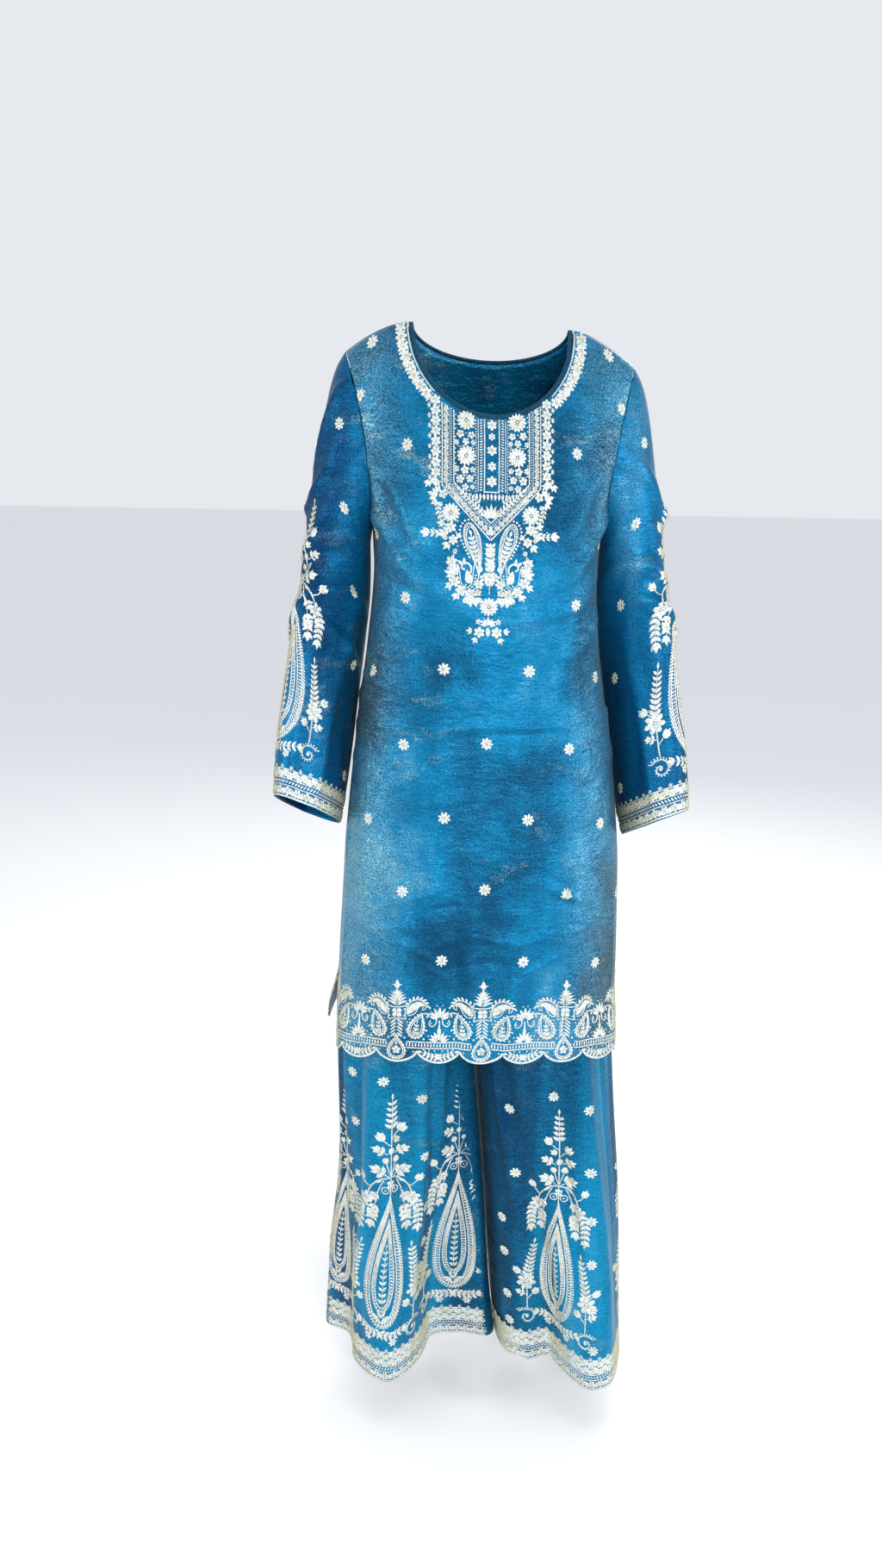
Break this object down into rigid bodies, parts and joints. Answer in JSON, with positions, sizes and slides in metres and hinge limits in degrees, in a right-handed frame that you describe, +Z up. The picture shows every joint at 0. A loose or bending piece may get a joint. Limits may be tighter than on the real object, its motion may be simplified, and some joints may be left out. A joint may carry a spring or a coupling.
{
  "type": "sharara suit",
  "caption": "Sharara suit of peacock-blue tissue silk: long kurta with scoop neck, bell sleeves, side slits and scalloped hem over wide-legged trousers, with pale embroidery, hanging as worn.",
  "frame": {"origin": "midway between the two points where the neck edge meets the shoulder seams, where the wearer's shoulders carry the suit", "axes": "+Z up along the length of the suit, -Y out of the front, +X towards the viewer's right seen from the front"},
  "size_m": [0.5374, 0.2707, 1.4502],
  "materials": {
    "kurta_silk": "peacock-blue tissue silk, shot with pale gold where it catches the light",
    "sleeve_silk": "the same tissue silk, a deeper royal blue on the sleeves",
    "sharara_silk": "peacock-blue tissue silk, shot with pale gold at the folds",
    "neck_binding": "rolled dark blue silk piping",
    "embroidery": "raised ivory and pale silver-gold thread"
  },
  "bodies": {
    "root": {"kurta_front": "kurta_silk", "kurta_back": "kurta_silk", "sleeve_left": "sleeve_silk", "sleeve_right": "sleeve_silk", "neck_binding_front": "neck_binding", "neck_binding_back": "neck_binding", "sharara_left_front": "sharara_silk", "sharara_left_back": "sharara_silk", "sharara_right_front": "sharara_silk", "sharara_right_back": "sharara_silk", "sharara_waistband": "sharara_silk"}
  },
  "joints": []
}
